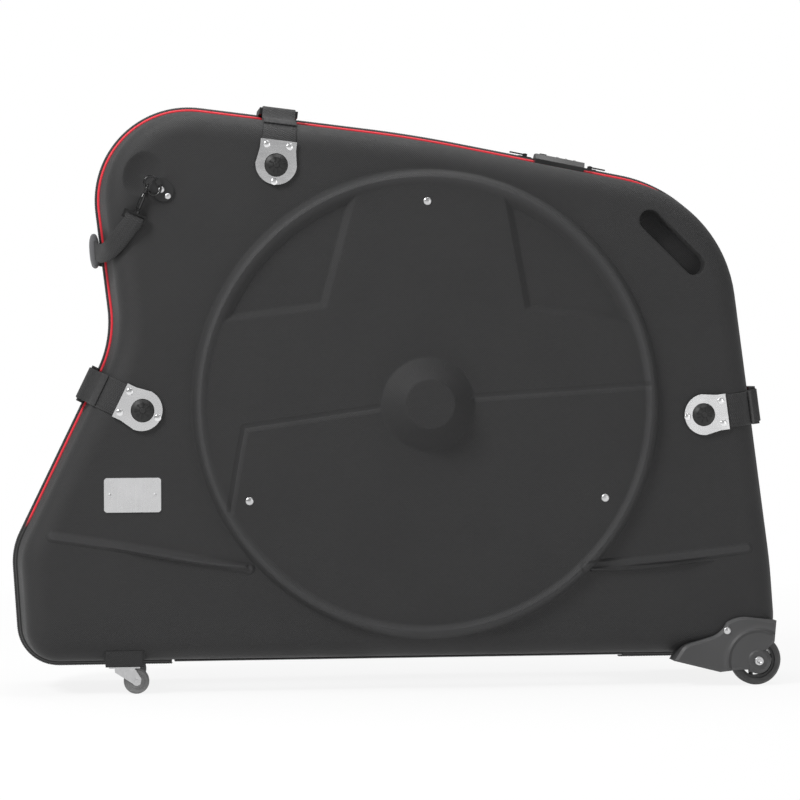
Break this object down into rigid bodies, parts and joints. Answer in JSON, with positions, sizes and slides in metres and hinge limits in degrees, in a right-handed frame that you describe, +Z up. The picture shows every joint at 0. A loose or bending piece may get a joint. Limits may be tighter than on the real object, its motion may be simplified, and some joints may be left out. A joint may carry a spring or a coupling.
{
  "type": "bike travel case",
  "caption": "Hard-sided travel case for a bicycle: two moulded half shells zipped over a base panel, with wheels, casters, buckled straps and a bike mount inside.",
  "frame": {"origin": "on the floor under the middle of the closed case", "axes": "+Z up; +X towards the end with the fixed wheels; -Y is the half with the name plate and the lock"},
  "size_m": [1.1639, 0.308, 0.8785],
  "materials": {
    "shell_cloth": "fine matt weave over moulded board",
    "red_piping": "woven satin",
    "zip_tape": "matt",
    "zinc_steel": "zinc plated",
    "bright_steel": "satin",
    "stiffener_plastic": "matt",
    "black_rubber": "matt",
    "black_webbing": "ribbed weave",
    "black_plastic": "satin",
    "housing_plastic": "fine grain",
    "grey_tread": "matt",
    "panel_alloy": "satin",
    "padded_cloth": "matt lining cloth",
    "grip_pad": "padded cloth",
    "lock_metal": "satin"
  },
  "bodies": {
    "base": {"base_panel": "panel_alloy", "base_hinge_strips": "black_webbing", "base_rail": "panel_alloy", "fork_mount": "panel_alloy", "fork_skewer": "bright_steel", "frame_cradle": "black_plastic"},
    "cam_lever": {"skewer_lever": "panel_alloy"},
    "near_half": {"near_side_band": "shell_cloth", "near_face_pan": "shell_cloth", "near_piping": "red_piping", "near_zip": "zip_tape", "near_disc_plate": "stiffener_plastic", "near_strap_plates": "bright_steel", "near_bumpers": "black_rubber", "near_webbing": "black_webbing", "near_buckles": "black_plastic", "near_wheel_housing": "housing_plastic", "near_wheel_axle": "zinc_steel", "near_caster_plate": "zinc_steel", "near_haul_plate": "bright_steel", "near_haul_hook": "bright_steel", "near_haul_web": "black_webbing", "name_plate": "panel_alloy", "lock_case": "black_plastic"},
    "near_wheel": {"near_wheel_rim": "black_plastic", "near_wheel_tyre": "grey_tread"},
    "near_caster": {"near_caster_fork": "zinc_steel"},
    "near_caster_roller": {"near_caster_wheel": "grey_tread"},
    "near_ring": {"near_haul_ring": "bright_steel"},
    "far_half": {"far_side_band": "shell_cloth", "far_face_pan": "shell_cloth", "far_piping": "red_piping", "far_zip": "zip_tape", "far_disc_plate": "stiffener_plastic", "far_strap_plates": "bright_steel", "far_bumpers": "black_rubber", "far_webbing": "black_webbing", "far_buckles": "black_plastic", "far_wheel_housing": "housing_plastic", "far_wheel_axle": "zinc_steel", "far_caster_plate": "zinc_steel", "far_haul_plate": "bright_steel", "far_haul_hook": "bright_steel", "far_haul_web": "black_webbing", "padded_divider": "padded_cloth", "haul_grip": "grip_pad"},
    "far_wheel": {"far_wheel_rim": "black_plastic", "far_wheel_tyre": "grey_tread"},
    "far_caster": {"far_caster_fork": "zinc_steel"},
    "far_caster_roller": {"far_caster_wheel": "grey_tread"},
    "far_ring": {"far_haul_ring": "bright_steel"},
    "lock_button": {"lock_button": "lock_metal"},
    "lock_dial_1": {"lock_dial_1": "lock_metal"},
    "lock_dial_2": {"lock_dial_2": "lock_metal"},
    "lock_dial_3": {"lock_dial_3": "lock_metal"},
    "zip_slider_left": {"zip_slider_left": "lock_metal"},
    "zip_pull_left": {"zip_pull_left": "lock_metal"},
    "zip_slider_right": {"zip_slider_right": "lock_metal"},
    "zip_pull_right": {"zip_pull_right": "lock_metal"}
  },
  "joints": [
    {"name": "near_half_hinge", "type": "hinge", "parent": "base", "child": "near_half", "pos_m": [0, -0.05, 0.045], "axis": [1, 0, 0], "range_deg": [0, 90]},
    {"name": "far_half_hinge", "type": "hinge", "parent": "base", "child": "far_half", "pos_m": [0, 0.05, 0.045], "axis": [-1, 0, 0], "range_deg": [0, 90]},
    {"name": "cam_lever_pivot", "type": "hinge", "parent": "base", "child": "cam_lever", "pos_m": [-0.225, -0.06, 0.16], "axis": [0, 0, -1], "range_deg": [0, 180]},
    {"name": "near_wheel_spin", "type": "hinge", "parent": "near_half", "child": "near_wheel", "pos_m": [0.5365, -0.105, 0.038], "axis": [0, 1, 0], "continuous": true},
    {"name": "near_caster_swivel", "type": "hinge", "parent": "near_half", "child": "near_caster", "pos_m": [-0.4185, -0.088, 0.038], "axis": [0, 0, 1], "continuous": true},
    {"name": "near_caster_spin", "type": "hinge", "parent": "near_caster", "child": "near_caster_roller", "pos_m": [-0.4005, -0.088, 0.019], "axis": [0, 1, 0], "continuous": true},
    {"name": "near_ring_swing", "type": "hinge", "parent": "near_half", "child": "near_ring", "pos_m": [-0.365, -0.1252, 0.7585], "axis": [-0.454, 0, 0.891], "range_deg": [-4, 4]},
    {"name": "far_wheel_spin", "type": "hinge", "parent": "far_half", "child": "far_wheel", "pos_m": [0.5365, 0.105, 0.038], "axis": [0, 1, 0], "continuous": true},
    {"name": "far_caster_swivel", "type": "hinge", "parent": "far_half", "child": "far_caster", "pos_m": [-0.4185, 0.088, 0.038], "axis": [0, 0, 1], "continuous": true},
    {"name": "far_caster_spin", "type": "hinge", "parent": "far_caster", "child": "far_caster_roller", "pos_m": [-0.4005, 0.088, 0.019], "axis": [0, 1, 0], "continuous": true},
    {"name": "far_ring_swing", "type": "hinge", "parent": "far_half", "child": "far_ring", "pos_m": [-0.365, 0.1252, 0.7585], "axis": [-0.454, 0, 0.891], "range_deg": [-4, 4]},
    {"name": "dial_1_turn", "type": "hinge", "parent": "near_half", "child": "lock_dial_1", "pos_m": [0.24858, -0.017, 0.7999], "axis": [0.9823, 0, -0.1873], "continuous": true},
    {"name": "dial_2_turn", "type": "hinge", "parent": "near_half", "child": "lock_dial_2", "pos_m": [0.26184, -0.017, 0.79737], "axis": [0.9823, 0, -0.1873], "continuous": true},
    {"name": "dial_3_turn", "type": "hinge", "parent": "near_half", "child": "lock_dial_3", "pos_m": [0.2751, -0.017, 0.79484], "axis": [0.9823, 0, -0.1873], "continuous": true},
    {"name": "lock_button_press", "type": "slide", "parent": "near_half", "child": "lock_button", "axis": [-0.1873, 0, -0.9823], "range_m": [0, 0.0015], "stiffness_N_per_m": 400, "springref_m": -0.001},
    {"name": "zip_slider_left_run", "type": "slide", "parent": "far_half", "child": "zip_slider_left", "axis": [-0.9823, 0, 0.1873], "range_m": [0, 0.1]},
    {"name": "zip_slider_right_run", "type": "slide", "parent": "far_half", "child": "zip_slider_right", "axis": [0.9823, 0, -0.1873], "range_m": [0, 0.035]},
    {"name": "zip_pull_left_flip", "type": "hinge", "parent": "zip_slider_left", "child": "zip_pull_left", "pos_m": [0.20178, 0, 0.81076], "axis": [0, 1, 0], "range_deg": [0, 140]},
    {"name": "zip_pull_right_flip", "type": "hinge", "parent": "zip_slider_right", "child": "zip_pull_right", "pos_m": [0.30296, 0, 0.79146], "axis": [0, -1, 0], "range_deg": [0, 140]}
  ]
}
